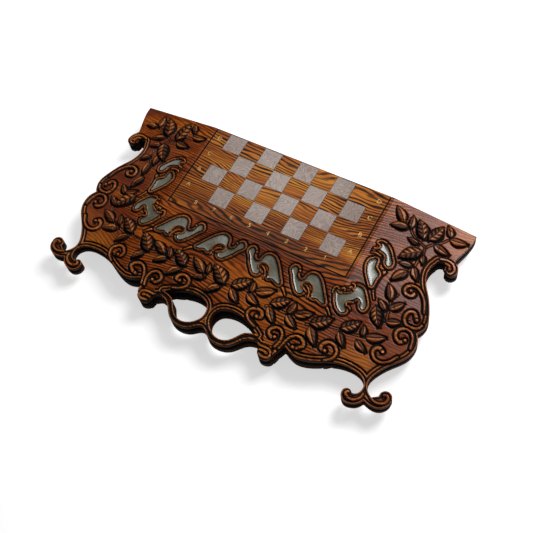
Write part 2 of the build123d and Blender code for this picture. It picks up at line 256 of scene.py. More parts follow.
window = {
    "margin": 10, "grooveMiddle": 5.6, "grooveHalf": 1.8, "grooveDepth": 2.8,
    "beadMiddle": 2.9, "beadHalf": 1.6, "beadRise": 1.5, "beadSink": 0.4, "beadHighlight": 0.6, "innerLine": 1.7,
    "wellEdge": 0.7, "wellEase": 1.2, "wellShade": 0.4, "recess": 4.2,
}


def carveWindow(relief, segments):
    rows = relief.near(segments, window["margin"])
    points = relief.points[rows]
    distance = nearestOn(points, segments)[0]
    outwards = np.where(insideOf(points, segments), -distance, distance)
    relief.groove(rows, outwards - window["grooveMiddle"], window["grooveHalf"], window["grooveDepth"])
    onBead = outwards < window["beadMiddle"] + window["beadHalf"]
    out = outwards[onBead]
    body = dome((out - window["beadMiddle"]) / window["beadHalf"])
    # Painted shade: black along the line by the resin and darker down the bead's flanks, with painted highlight
    # on its top
    paintedShade = np.where(out < window["innerLine"], 1.0, 1 - body)
    rise = window["beadRise"] * body - window["beadSink"]
    relief.lift(rows[onBead], rise, paintedShade, window["beadHighlight"] * body ** 3)
    inWell = outwards < window["wellEdge"]
    well = rows[inWell]
    fall = np.clip((window["wellEdge"] - outwards[inWell]) / window["wellEase"], 0, 1)
    relief.height[well] -= window["recess"] * fall
    # Painted shade deepens as the wood falls away into the well
    relief.paintedShade[well] = np.clip(window["wellShade"] + fall, 0, 1)
    relief.paintedHighlight[well] *= 1 - fall


# Ridges: half width at the start and at the tip, rise, and half width of the groove on each side
ridgeSizes = {"scroll": (1.6, 2.7, 1.6, 2.1), "curl": (1.7, 2.3, 1.5, 1.4), "stem": (0.7, 0.6, 0.7, 1.1),
              "windowTail": (2.4, 0.8, 1.2, 1.7), "windowCurl": (1.3, 1.6, 1.4, 1.1)}
ridge = {"margin": 8, "grooveOffset": 0.7, "fullGroove": 1.6, "grooveDepth": 3.0,
         "paintedHighlight": 0.65, "paintedShade": 1.3, "shadeFall": 1.8}


def carveRidge(relief, spots, kind):
    half, tipHalf, rise, groove = ridgeSizes[kind]
    path = smoothPath(spots)
    rows = relief.near(path, ridge["margin"])
    distance, share, _ = nearestOn(relief.points[rows], joined(path))
    width = half + (tipHalf - half) * share
    depth = ridge["grooveDepth"] * min(1, groove / ridge["fullGroove"])
    relief.groove(rows, distance - width - groove * ridge["grooveOffset"], groove, depth)
    on = distance < width
    body = dome(distance[on] / width[on])
    # Painted shade on the flanks of the ridge and painted highlight along its top
    paintedShade = np.clip(ridge["paintedShade"] - ridge["shadeFall"] * body, 0, 1)
    relief.lift(rows[on], rise * body, paintedShade, ridge["paintedHighlight"] * body ** 3)


eye = {"radius": 2.6, "margin": 8, "grooveOffset": 1.0, "grooveHalf": 1.2, "grooveDepth": 3.0,
       "rise": 2.2, "paintedShade": 1.2, "shadeFall": 2.0}


def carveEye(relief, centre, radius):
    centre = np.array([centre], float)
    rows = relief.near(centre, eye["margin"])
    distance = np.hypot(*(relief.points[rows] - centre).T)
    relief.groove(rows, distance - radius - eye["grooveOffset"], eye["grooveHalf"], eye["grooveDepth"])
    on = distance < radius
    body = dome(distance[on] / radius)
    # Painted shade round the foot of the eye and painted highlight on its top
    paintedShade = np.clip(eye["paintedShade"] - eye["shadeFall"] * body, 0, 1)
    relief.lift(rows[on], eye["rise"] * body, paintedShade, body ** 2)


line = {"margin": 4, "half": 1.3, "depth": 2.6}


def carveLine(relief, spots):
    path = smoothPath(spots)
    rows = relief.near(path, line["margin"])
    distance = nearestOn(relief.points[rows], joined(path))[0]
    relief.groove(rows, distance, line["half"], line["depth"])


# Shares of a leaf's length, except for the heights and widths in mm
leaf = {
    "margin": 9, "bend": 0.05, "serratedHalf": 0.27, "plainHalf": 0.23, "blunt": 0.85, "belly": 0.75,
    "footWidth": 1.12, "taper": 0.25, "teeth": 7, "tooth": 0.13,
    "groove": 3.3, "grooveDepth": 2.8, "undercut": 1.3, "undercutEase": 0.5,
    "rise": 2.6, "crown": 0.7, "endRise": 0.75,
    "vein": 0.75, "veinDepth": 1.2, "veinShade": 0.9, "cuts": 4.5, "cutSlant": 3, "cutEdge": 2.4,
    "cutStart": 0.3, "cutEase": 1.2, "cutShare": 0.9,
    "edge": 1.5, "edgeFall": 2, "shade": 0.45, "shadeFrom": 1.6, "litSide": 1.0, "shadeSide": 0.25,
}


def carveLeaf(relief, place, serrated):
    tip = np.array(place[:2], float)
    foot = np.array(place[2:], float)
    rows = relief.near(np.array([tip, foot]), leaf["margin"])
    axis = tip - foot
    length = np.hypot(*axis)
    axis /= length
    offset = relief.points[rows] - foot
    t = (offset @ axis) / length
    inner = np.clip(t, 0, 1)
    across = offset @ np.array([-axis[1], axis[0]]) - length * leaf["bend"] * np.sin(np.pi * inner)
    share = leaf["serratedHalf"] if serrated else leaf["plainHalf"]
    half = length * share * np.sin(np.pi * inner ** leaf["blunt"]) ** leaf["belly"]
    half = half * (leaf["footWidth"] - leaf["taper"] * inner)
    if serrated:
        half *= 1 + leaf["tooth"] * (np.mod(inner * leaf["teeth"], 1) - 0.5)
    side = np.abs(across)
    beyond = np.maximum(side - half, np.maximum(-t, t - 1) * length)
    # The groove round the leaf is widened towards one side, and the painted shade in it stands for the shadow of
    # an undercut there
    fromMiddle = (relief.points[rows] - (tip + foot) / 2).sum(axis=1)
    lean = np.clip(fromMiddle / (leaf["undercutEase"] * length), -1, 1)
    around = np.clip(beyond - leaf["undercut"] * lean, 0, None)
    relief.groove(rows, around, leaf["groove"], leaf["grooveDepth"])
    on = beyond < 0
    side, inner = side[on], inner[on]
    body = dome(side / np.maximum(half[on], 0.1))
    arch = leaf["endRise"] + (1 - leaf["endRise"]) * np.sin(np.pi * inner)
    rise = leaf["rise"] * body ** leaf["crown"] * arch
    vein = np.exp(-(side / leaf["vein"]) ** 2)
    if serrated:
        wave = 0.5 + 0.5 * np.cos(2 * np.pi * (inner * leaf["cuts"] - side / length * leaf["cutSlant"]))
        fromVein = np.clip(side / leaf["cutEase"] - leaf["cutStart"], 0, 1)
        cuts = np.clip(wave * leaf["cutEdge"] - 1, 0, 1) * fromVein
        vein = np.maximum(vein, leaf["cutShare"] * cuts)
    # Painted shade at the leaf's edges, in its vein and cuts and on its shaded side; painted highlight along its
    # lit side
    edge = np.clip(leaf["edge"] - body * leaf["edgeFall"], 0, 1)
    lit = np.where(across[on] > 0, leaf["litSide"], leaf["shadeSide"])
    paintedShade = leaf["shade"] * (leaf["shadeFrom"] - lit) + leaf["veinShade"] * vein + edge
    relief.lift(rows[on], rise - leaf["veinDepth"] * vein, np.clip(paintedShade, 0, 1), lit * body ** 4 * (1 - vein))


# Ornament of the right and left sides: each row is (tip x, tip depth, foot x, foot depth)
serratedLeaves = [
    (-251, 10, -235, 43), (-210, 8, -215, 46), (-213, 91, -230, 60), (-239, 198, -215, 170),
    (-209, 211, -183, 231), (-163, 221, -141, 248), (-100, 226, -74, 245), (-32, 223, -3, 245),
    (33, 221, 9, 242), (102, 224, 77, 242), (172, 224, 145, 245), (209, 209, 188, 231),
    (235, 203, 218, 176), (213, 89, 239, 64), (213, 16, 232, 43), (250, 10, 239, 41)]
plainLeaves = [
    (-284, 36, -264, 32), (-262, 9, -261, 31), (-259, 58, -237, 47), (-201, 7, -192, 23),
    (-167, 28, -190, 31), (-187, 54, -212, 49), (-251, 73, -235, 64), (-224, 105, -224, 82),
    (-251, 103, -239, 91), (-230, 128, -231, 103), (-235, 157, -224, 133), (-251, 158, -237, 172),
    (-219, 160, -237, 170), (-256, 185, -240, 196), (-252, 211, -226, 224), (-219, 208, -213, 225),
    (-236, 241, -211, 231), (-202, 253, -186, 234), (-140, 227, -115, 240), (-111, 226, -104, 243),
    (-124, 258, -106, 245), (-158, 269, -146, 250), (-68, 226, -42, 242), (-40, 224, -36, 240),
    (-53, 256, -36, 248), (-93, 269, -77, 248), (-23, 268, -6, 248), (38, 221, 41, 239),
    (74, 221, 47, 235), (30, 263, 11, 245), (60, 253, 37, 242), (111, 224, 108, 245),
    (142, 229, 117, 242), (128, 261, 107, 247), (95, 268, 77, 247), (166, 272, 147, 247),
    (215, 210, 220, 226), (251, 213, 225, 226), (234, 246, 215, 236), (203, 254, 188, 236),
    (261, 182, 240, 191), (216, 165, 232, 176), (252, 153, 236, 171), (218, 135, 232, 158),
    (219, 128, 234, 104), (252, 111, 239, 92), (216, 97, 236, 92), (249, 82, 242, 67),
    (210, 53, 228, 55), (255, 4, 267, 20), (293, 20, 267, 25), (275, 50, 250, 43),
    (173, 11, 194, 31), (202, 14, 207, 35), (178, 45, 203, 37)]
stems = [
    [(-264, 31), (-248, 38), (-236, 44), (-224, 52), (-232, 62), (-239, 78), (-239, 91), (-231, 103)],
    [(-192, 23), (-190, 31), (-205, 43), (-224, 52)],
    [(-237, 172), (-228, 180), (-232, 190), (-240, 200), (-236, 212)],
    [(-226, 224), (-213, 228), (-200, 233), (-184, 233), (-172, 236)],
    [(-152, 250), (-141, 248), (-125, 242), (-106, 245)],
    [(-84, 249), (-74, 246), (-55, 243), (-36, 245)],
    [(-12, 249), (-3, 245), (9, 243), (24, 240), (42, 238)],
    [(72, 249), (80, 245), (95, 246), (108, 245), (122, 240)],
    [(140, 249), (150, 244), (165, 238), (188, 233), (205, 231), (225, 226)],
    [(218, 176), (228, 182), (240, 191), (236, 171), (234, 158), (238, 145)],
    [(234, 104), (239, 92), (240, 80), (242, 67), (241, 55), (250, 43), (258, 36), (267, 24)],
    [(207, 35), (215, 44), (227, 50), (241, 55)]]

# Scrolls of the right side, from the rim to the eye; the left side has them mirrored
scrolls = [
    [(283, 152), (277, 138), (268, 127), (257, 121), (247, 123), (243, 130), (246, 137), (254, 138),
     (258, 133), (252, 130)],
    [(289, 172), (285, 179), (276, 181.5), (268, 181), (262.5, 175), (261.5, 167), (265, 160.5), (271, 159),
     (275.5, 163), (279, 168.5)],
    [(289, 212), (286.5, 199), (281, 190), (273, 187.5), (265.5, 189.5), (261, 195.5), (261.5, 202.5),
     (266, 208), (272, 208.5), (277, 203.5)],
    [(278, 232), (271, 243), (261, 249.5), (250.5, 248.5), (244, 241.5), (244.5, 234), (250, 230.5),
     (256, 233.5)],
    [(188, 285), (197, 277), (199, 266), (192, 258), (183, 257), (176, 264), (176, 271), (183, 272)],
    [(121, 298), (124, 287), (129, 276), (138, 270), (147, 272), (152, 279), (147, 285), (139, 288)],
    [(115, 299), (118, 288), (116, 277), (108, 271), (99, 274), (96, 281), (101, 287), (108, 286)],
    [(72, 284), (60, 279), (53, 271), (55, 262), (63, 258), (72, 260), (75, 267), (68, 269)]]
windowTails = [((74, 209), (82, 213), (90, 221)), ((149, 209), (157, 213), (165, 221)),
               ((205, 121.5), (202.5, 129), (201.3, 141), (202, 152), (205, 160), (210.5, 168.5))]
windowCurls = [
    [(152, 187), (151, 180), (153.5, 176), (157.5, 176.5), (158, 179)],
    [(157, 181.5), (162, 183), (166.5, 181), (167.5, 176.5), (164.5, 173.5), (162.5, 175.5)],
    [(168, 180.5), (173, 177.5), (177, 173.5), (176.5, 168.5), (173, 167), (171.5, 169)],
    [(178, 171), (178.5, 165.5), (176, 161.5), (172.5, 161.5)],
    [(187, 76.5), (180, 76.5), (175, 79), (174.5, 83), (179, 84.5), (181.5, 88), (179, 91.5), (174, 92.5)],
    [(173.5, 101.5), (180, 99.5), (188, 100.5)],
    [(187.5, 200), (184, 196.5), (179.5, 196.5), (177.5, 192.5), (181, 189.5), (186, 187.5)],
    [(51, 204), (50, 197), (46.5, 191), (40, 188), (33, 189), (30.3, 193), (31.3, 197.5), (36, 199.8),
     (41, 203)],
    [(126, 204), (125, 197), (121.5, 191), (115, 188), (108, 189), (105.3, 193), (106.3, 197.5), (111, 199.8),
     (116, 203)],
    [(47.5, 211), (46.8, 205), (44.3, 200), (41, 196.5), (37, 194.3)],
    [(122.5, 211), (121.8, 205), (119.3, 200), (116, 196.5), (112, 194.3)]]
windowLines = [
    [(172, 93), (172, 102.5)], [(186, 190), (190.5, 187), (193.5, 190)]]
windowBalls = [(17.5, 177, 1.7), (92.5, 177, 1.7)]    # x, depth, radius
curlRidges = [
    [(84, 304.5), (94, 305), (104, 305), (112, 307.5), (115.5, 312.5), (113, 317.5), (106.5, 319.3),
     (100, 317.5)],
    [(97, 312), (104, 311), (109, 312.5)], [(116, 300), (119, 305), (119.2, 310)],
    [(271, 303.5), (279, 306.5), (287, 305.5), (293, 300.5), (294, 294.5), (291, 290.8), (287, 291.5)],
    [(259.5, 303), (258.5, 310), (253, 315.5), (246, 317.8), (240, 316), (237, 312.3), (239.5, 309)],
    [(268, 60.5), (278, 58), (287, 59.5), (292.5, 65), (293.3, 71.5), (290, 76), (285.5, 75)],
    [(270, 68.5), (276, 65.3), (282, 64.8), (286.3, 67.8), (287, 71)]]
curlLines = [
    [(91, 309), (103, 308.5), (110, 309.5), (111.5, 313.5), (107, 316), (99, 315.5)],
    [(282.5, 290.5), (284.5, 295.5), (288, 297.8), (290.3, 295)],
    [(250.5, 308.5), (248, 312.5), (244.5, 314.2), (243, 312)],
    [(281, 70.5), (284, 72.5)]]


def carveBoard(relief, distance):
    carveRim(relief, distance)
    for side in (-1, 1):
        for spots in curlRidges:
            carveRidge(relief, onSide(spots, side), "curl")
        for spots in curlLines:
            carveLine(relief, onSide(spots, side))
        for spots in scrolls:
            carveRidge(relief, onSide(spots, side), "scroll")
            carveEye(relief, onSide(spots, side)[-1], eye["radius"])
        for spots in windowTails:
            carveRidge(relief, onSide(spots, side), "windowTail")
    for edges in windowEdges.values():
        carveWindow(relief, edges)
    for side in (-1, 1):
        for spots in windowCurls:
            carveRidge(relief, onSide(spots, side), "windowCurl")
        for spots in windowLines:
            carveLine(relief, onSide(spots, side))
        for x, depth, radius in windowBalls:
            carveEye(relief, (side * x, depth), radius)
    for spots in stems:
        carveRidge(relief, spots, "stem")
    for place in plainLeaves:
        carveLeaf(relief, place, False)
    for place in serratedLeaves:
        carveLeaf(relief, place, True)


windowNames = ["front_inner_windows", "front_outer_windows", "corner_windows",
               "side_lower_windows", "side_upper_windows"]
outline = outlineSegments()
windowEdges = {name: windowSegments("upper_" + name) for name in windowNames}
print("outline has", len(outline), "edges, windows", {n: len(s) for n, s in windowEdges.items()})


# Pieces

def addPiece(name, mesh, body, slot, *replaced):
    piece = bpy.data.objects.new(name, mesh)
    bpy.context.scene.collection.objects.link(piece)
    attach(piece, body)
    if replaced:
        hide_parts(*replaced)
    return piece


def toMesh(mesh, name):
    made = bpy.data.meshes.new(name)
    mesh.to_mesh(made)
    mesh.free()
    return made


def toMetres(mesh):
    bmesh.ops.dissolve_degenerate(mesh, edges=mesh.edges, dist=case["merge"])
    bmesh.ops.scale(mesh, vec=(mm, mm, mm), verts=mesh.verts)
    bmesh.ops.translate(mesh, vec=(0, hingeEdge * mm, 0), verts=mesh.verts)


def isInside(points, edges):
    # The hinge edge itself counts as inside.
    onHinge = (np.abs(points[:, 1]) < 1e-3) & (np.abs(points[:, 0]) <= case["hingeHalfWidth"])
    return insideOf(points, edges) | onHinge


def gridCells(low, high):
    return max(1, round((high - low) / case["gridStep"]))


def cutGrid(xRange, depthRange, edges):
    # A flat grid is cut to closed edges, and its border points are drawn onto them.
    mesh = bmesh.new()
    bmesh.ops.create_grid(mesh, x_segments=gridCells(*xRange), y_segments=gridCells(*depthRange), size=0.5)
    size = Vector((xRange[1] - xRange[0], depthRange[1] - depthRange[0], 1))
    bmesh.ops.scale(mesh, vec=size, verts=mesh.verts)
    bmesh.ops.translate(mesh, vec=(sum(xRange) / 2, sum(depthRange) / 2, 0), verts=mesh.verts)
    mesh.verts.index_update()
    inside = isInside(np.array([v.co.xy for v in mesh.verts]), edges)
    idle = [v for v in mesh.verts if not any(inside[w.index] for face in v.link_faces for w in face.verts)]
    bmesh.ops.delete(mesh, geom=idle, context="VERTS")
    mesh.verts.index_update()
    points = np.array([v.co.xy for v in mesh.verts])
    distance, _, foot = nearestOn(points, edges)
    drawn = ~isInside(points, edges) | (distance < case["snap"] * case["gridStep"])
    points[drawn] = foot[drawn]
    distance[drawn] = 0
    return mesh, points, distance


# The moulded wall, downwards from the rim: share of the height, how far it stands back, and its painted shade
wallSteps = [(0.95, 1.2, 1.0), (0.89, 1.5, 1.0), (0.82, 0.3, 0.1), (0.64, 0.0, 0.0), (0.44, 0.2, 0.1),
             (0.34, 1.3, 1.0), (0.04, 1.6, 1.0), (0.0, 0.0, 1.0)]
probes = (0.5, 1.1)


def inwardsFrom(spots):
    # Square to the outline at each spot of the rim, and turned to the side where the probes find wood
    _, share, _ = nearestOn(spots, outline)
    nearest = np.clip(np.floor(share * len(outline) - 1e-6).astype(int), 0, len(outline) - 1)
    along = outline[nearest, 1] - outline[nearest, 0]
    along /= np.linalg.norm(along, axis=1)[:, None]
    way = np.stack([-along[:, 1], along[:, 0]], axis=1)
    votes = sum(s * insideOf(spots + s * step * way, outline).astype(int) for step in probes for s in (-1, 1))
    way[votes < 0] *= -1
    return way


def pullWall(mesh, rimEdges, shadeLayer, highlightLayer, wallLayer):
    # Each step finds a rim point and its way inwards again by where the step before has put it.
    rimVerts = list({v for e in rimEdges for v in e.verts})
    inwards = inwardsFrom(np.array([(v.co.x, -v.co.y) for v in rimVerts]))
    placeOf = {tuple(v.co): (v.co.copy(), way) for v, way in zip(rimVerts, inwards)}
    for share, back, paintedShade in wallSteps:
        made = bmesh.ops.extrude_edge_only(mesh, edges=rimEdges)["geom"]
        rimEdges = [e for e in made if isinstance(e, bmesh.types.BMEdge)]
        for face in made:
            if isinstance(face, bmesh.types.BMFace):
                face.smooth = True
        moved = {}
        for v in {v for e in rimEdges for v in e.verts}:
            start, way = placeOf[tuple(v.co)]
            moulded = min(max(-start.y - 0.5, 0), 1)    # the hinge edge stays flat and plain
            v.co = (start.x + way[0] * back * moulded, start.y - way[1] * back * moulded, start.z * share)
            v[shadeLayer] = paintedShade * moulded
            v[highlightLayer] = 0
            v[wallLayer] = moulded
            moved[tuple(v.co)] = (start, way)
        placeOf = moved


def carvedSkin(name, xRange, depthRange):
    mesh, points, distance = cutGrid(xRange, depthRange, outline)
    relief = Relief(points)
    carveBoard(relief, distance)
    heights = np.minimum(relief.height, fullHeight)
    for v, spot, height in zip(mesh.verts, points, heights):
        v.co = (spot[0], -spot[1], height)
    for face in mesh.faces:
        face.smooth = True
    bmesh.ops.reverse_faces(mesh, faces=mesh.faces)
    # The points carry their painted shade and painted highlight, and the share that is wall
    layers = [mesh.verts.layers.float.new(key) for key in ("paintedShade", "paintedHighlight", "wall")]
    for v, *values in zip(mesh.verts, relief.paintedShade, relief.paintedHighlight):
        v[layers[0]], v[layers[1]] = values
    rimEdges = [e for e in mesh.edges if e.is_boundary and all(distance[v.index] < 1e-6 for v in e.verts)]
    for e in rimEdges:
        e.smooth = False
    pullWall(mesh, rimEdges, *layers)
    toMetres(mesh)
    return toMesh(mesh, name)


def placedOn(half, source, name):
    mesh = source.copy()
    mesh.name = name
    flip = Matrix.Diagonal((1, 1, facing[half], 1))
    mesh.transform(Matrix.Translation((0, 0, partingOf[half])) @ flip)
    if facing[half] < 0:
        mesh.flip_normals()
    return mesh


skins = {
    "left_wing": ((-case["halfWidth"], -case["flatHalfWidth"]), (0.0, case["reach"])),
    "right_wing": ((case["flatHalfWidth"], case["halfWidth"]), (0.0, case["reach"])),
    "front_band": ((-case["flatHalfWidth"], case["flatHalfWidth"]), (case["fieldDepth"], case["reach"])),
}
woodPieces = []
for region, (xRange, depthRange) in skins.items():
    source = carvedSkin(region, xRange, depthRange)
    for half in ("upper", "lower"):
        name = half + "_" + region
        woodPieces.append(addPiece(name, placedOn(half, source, name), half + "_half", "carved_wood"))
    print(region, len(source.polygons), "faces")


resin = {"margin": 1, "recess": 1.6, "thickness": 2.4, "creep": 1.1, "creepWidth": 1.3, "sag": 0.25}


def resinPool(name, edges):
    # Cast resin creeps up the wood along its edge, and is mirrored for the left side.
    right = edges[edges.mean(axis=1)[:, 0] > 0]
    low = right.min(axis=(0, 1)) - resin["margin"]
    high = right.max(axis=(0, 1)) + resin["margin"]
    mesh, points, distance = cutGrid((low[0], high[0]), (low[1], high[1]), right)
    height = baseHeight(points) - resin["recess"]
    top = height + resin["creep"] * np.exp(-distance / resin["creepWidth"]) - resin["sag"]
    for v, spot, level in zip(mesh.verts, points, top):
        v.co = (spot[0], -spot[1], level)
    for face in mesh.faces:
        face.smooth = True
    bmesh.ops.reverse_faces(mesh, faces=mesh.faces)
    rimEdges = [e for e in mesh.edges if e.is_boundary]
    made = bmesh.ops.extrude_edge_only(mesh, edges=rimEdges)["geom"]
    lower = [e for e in made if isinstance(e, bmesh.types.BMEdge)]
    for v in {v for e in lower for v in e.verts}:
        v.co.z -= resin["thickness"]
    bmesh.ops.triangle_fill(mesh, edges=lower, use_beauty=True)
    bmesh.ops.dissolve_degenerate(mesh, edges=mesh.edges, dist=case["merge"])
    everything = mesh.verts[:] + mesh.edges[:] + mesh.faces[:]
    bmesh.ops.mirror(mesh, geom=everything, axis="X", merge_dist=-1)
    bmesh.ops.scale(mesh, vec=(mm, mm, mm), verts=mesh.verts)
    bmesh.ops.translate(mesh, vec=(0, hingeEdge * mm, 0), verts=mesh.verts)
    bmesh.ops.recalc_face_normals(mesh, faces=mesh.faces)
    return toMesh(mesh, name)


resinPieces = []
for windows, edges in windowEdges.items():
    pool = windows.replace("windows", "resin")
    source = resinPool(pool, edges)
    for half in ("upper", "lower"):
        name = half + "_" + pool
        resinPieces.append(addPiece(name, placedOn(half, source, name), half + "_half",
                                    "resin_window", half + "_" + windows))
print("resin windows")


core = {"outwards": 0.3, "wallGap": 0.6, "hollowHalfWidth": 206, "hollowDepths": (17, 235),
        "hollowHeight": 11.5, "recessFrom": 20, "recessTo": 0.5}


def slabCore(half):
    # The flat field with its recesses, the parting face, the hollow and the hinge edge, from the CAD.
    # What the skins cover is taken away, with the wall that stands along the outline.
    mesh = mergedCopy(half + "_carved_slab")
    for x in (-case["flatHalfWidth"], case["flatHalfWidth"]):
        cutAcross(mesh, (x * mm, 0, 0), (1, 0, 0))
    cutAcross(mesh, (0, (hingeEdge - case["fieldDepth"]) * mm, 0), (0, 1, 0))
    parting = partingOf[half]
    near, far = core["hollowDepths"]
    centres = [face.calc_center_median() for face in mesh.faces]
    toOutline = nearestOn(np.array([(c.x / mm, hingeEdge - c.y / mm) for c in centres]), outline)[0]
    doomed = []
    for face, centre, gap in zip(mesh.faces, centres, toOutline):
        x, depth = abs(centre.x / mm), hingeEdge - centre.y / mm
        height = (centre.z - parting) * facing[half] / mm
        inField = x < case["flatHalfWidth"] and depth < case["fieldDepth"]
        inHollow = x < core["hollowHalfWidth"] and near < depth < far and height < core["hollowHeight"]
        onWall = abs(face.normal.z) < core["outwards"] and gap < core["wallGap"]
        outward = face.normal.z * facing[half] > core["outwards"] or onWall
        if outward and not inField and not inHollow:
            doomed.append(face)
    bmesh.ops.delete(mesh, geom=doomed, context="FACES")
    # Painted shade: points below the field's top, in its grooves and recesses, are darkened
    shadeLayer = mesh.verts.layers.float.new("paintedShade")
    for v in mesh.verts:
        height = (v.co.z - parting) * facing[half] / mm
        if core["recessFrom"] < height < fullHeight - core["recessTo"]:
            v[shadeLayer] = 1
    return toMesh(mesh, half + "_core")


for half in ("upper", "lower"):
    woodPieces.append(addPiece(half + "_core", slabCore(half), half + "_half", "carved_wood",
                               half + "_carved_slab"))
print("slab cores")

marks = {"size": 10.5, "thickness": 0.12, "lift": 0.02, "square": 33.0, "numberDepth": 141.0,
         "letterX": 145.0, "letters": {"upper": "DCBA", "lower": "EFGH"}}


def fieldMarks(half):
    mesh = bmesh.new()
    places = [(str(8 - i), (i - 3.5) * marks["square"], marks["numberDepth"]) for i in range(8)]
    for row, letter in enumerate(marks["letters"][half]):
        for side in (-1, 1):
            places.append((letter, side * marks["letterX"], (row + 0.5) * marks["square"]))
    turn = Matrix.Rotation(0 if half == "upper" else math.pi, 4, "Y")
    top = partingOf[half] + facing[half] * (fullHeight + marks["lift"]) * mm
    for sign, x, depth in places:
        words = bpy.data.curves.new("sign", "FONT")
        words.body = sign
        words.size = marks["size"] * mm
        words.align_x = "CENTER"
        words.align_y = "CENTER"
        words.extrude = marks["thickness"] * mm / 2
        holder = bpy.data.objects.new("sign", words)
        bpy.context.scene.collection.objects.link(holder)
        bpy.context.view_layer.update()
        flat = bpy.data.meshes.new_from_object(holder.evaluated_get(bpy.context.evaluated_depsgraph_get()))
        flat.transform(Matrix.Translation((x * mm, (hingeEdge - depth) * mm, top)) @ turn)
        mesh.from_mesh(flat)
        bpy.data.objects.remove(holder)
        bpy.data.meshes.remove(flat)
    return toMesh(mesh, half + "_field_marks")


markPieces = [addPiece(half + "_field_marks", fieldMarks(half), half + "_half", "hinge_brass")
              for half in ("upper", "lower")]
print("field marks")


# Materials

def newMaterial(name):
    material = bpy.data.materials.new(name)
    material.use_nodes = True
    tree = material.node_tree
    return material, tree, tree.nodes["Principled BSDF"]


def addNode(tree, kind, inputs=None, **settings):
    node = tree.nodes.new("ShaderNode" + kind)
    for key, value in settings.items():
        setattr(node, key, value)
    for key, value in (inputs or {}).items():
        if isinstance(value, bpy.types.NodeSocket):
            tree.links.new(value, node.inputs[key])
        else:
            node.inputs[key].default_value = value
    return node


def ramp(tree, factor, stops):
    node = addNode(tree, "ValToRGB", {"Fac": factor})
    elements = node.color_ramp.elements
    while len(elements) < len(stops):
        elements.new(0.5)
    for element, (position, colour) in zip(elements, stops):
        element.position = position
        element.color = (*colour, 1)
    return node.outputs["Color"]


def mixed(tree, factor, a, b, mode="MIX"):
    node = addNode(tree, "Mix", data_type="RGBA", blend_type=mode)
    for socket, value in ((node.inputs[0], factor), (node.inputs[6], a), (node.inputs[7], b)):
        if isinstance(value, bpy.types.NodeSocket):
            tree.links.new(value, socket)
        elif isinstance(value, tuple):
            socket.default_value = (*value, 1)
        else:
            socket.default_value = value
    return node.outputs[2]


def maths(tree, operation, *values, clamp=False):
    return addNode(tree, "Math", dict(enumerate(values)), operation=operation, use_clamp=clamp).outputs[0]


def mapped(tree, value, low, high, start=0.0, end=1.0):
    return addNode(tree, "MapRange", {0: value, 1: low, 2: high, 3: start, 4: end}).outputs[0]


def noise(tree, place, scale, detail, distortion=0.0):
    inputs = {"Vector": place, "Scale": scale, "Detail": detail, "Distortion": distortion}
    return addNode(tree, "TexNoise", inputs).outputs["Fac"]


def stretchedNoise(tree, place, scale, detail, distortion=0.0):
    stretched = addNode(tree, "Mapping", {"Vector": place, "Scale": scale}).outputs[0]
    return noise(tree, stretched, 1.0, detail, distortion)


def objectPlace(tree):
    return addNode(tree, "TexCoord").outputs["Object"]


def attribute(tree, name):
    return addNode(tree, "Attribute", attribute_name=name).outputs["Fac"]


black = (0.0, 0.0, 0.0)
white = (1.0, 1.0, 1.0)
wood = {
    "dark": (0.012, 0.003, 0.001), "mid": (0.175, 0.036, 0.003), "light": (0.44, 0.113, 0.010),
    "gold": (0.72, 0.28, 0.034), "clouds": (4, 26, 26), "streaks": (25, 700, 700), "streakShare": 0.4,
    "cloudStops": (0.39, 0.51, 0.65), "patches": 9.0,
    "sap": 0.75, "sapPlace": (0.232, -0.104, 0.0), "sapReach": (0.046, 0.012),
    "ringPitch": 0.0052, "ringTilt": 0.8, "ringEdge": (-0.7, 0.3), "archRings": 21.0,
    "arches": (4, 10, 10), "wander": (22, 90, 90), "wanderShare": 0.08,
    "calm": (6, 30, 30), "calmStops": (0.50, 0.70), "calmest": 0.6, "outerWings": (0.15, 0.24), "outerCalm": 0.5,
    "wine": (0.15, 0.042, 0.028), "wineStops": (0.44, 0.56), "wineShare": 0.6,
    "amber": (0.24, 0.075, 0.010), "amberStops": (0.58, 0.5801), "amberRest": 0.2, "amberShare": 0.15,
    "amberFront": (-0.04, -0.13), "border": 0.85, "borderEase": 0.004, "borderTint": (0.82, 0.57, 0.48),
    "paintedHighlight": (0.80, 0.28, 0.065), "highlightOverShade": 0.45, "highlightNoise": (90, 90, 90), "highlightRange": (0.35, 0.60, 0.25, 0.85),
    "wall": (0.060, 0.017, 0.005), "wallDark": (0.022, 0.007, 0.003), "wallStops": (0.40, 0.60),
    "paintedShade": (0.0008, 0.0004, 0.0003), "shadeMatt": 0.45, "specular": 0.2, "roughness": 0.28,
    "rubbedRoughness": 0.14, "fullRub": 0.6, "grainStrength": 0.25, "grainDepth": 0.0006,
}
frameMark = {"halfWidth": 0.1582, "depth": 0.1572, "halfLine": 0.0012}


def ringLines(tree, place, xyz):
    # Growth rings: level lines of a slow field that runs along the board and bends into long arches.
    bend = mixed(tree, wood["wanderShare"], stretchedNoise(tree, place, wood["arches"], 1.0),
                 stretchedNoise(tree, place, wood["wander"], 1.0))
    tilted = maths(tree, "MULTIPLY_ADD", xyz.outputs["Z"], wood["ringTilt"], xyz.outputs["Y"])
    across = maths(tree, "MULTIPLY", tilted, 1 / wood["ringPitch"])
    field = maths(tree, "MULTIPLY_ADD", bend, wood["archRings"], across)
    wave = maths(tree, "SINE", maths(tree, "MULTIPLY", field, 2 * math.pi))
    return mapped(tree, wave, *wood["ringEdge"])


def fieldEdge(tree, xyz, sideways):
    # How far a place lies outside the line round the chess field.
    depth = maths(tree, "SUBTRACT", hingeEdge * mm - frameMark["depth"], xyz.outputs["Y"])
    side = maths(tree, "SUBTRACT", sideways, frameMark["halfWidth"])
    return maths(tree, "MAXIMUM", depth, side)


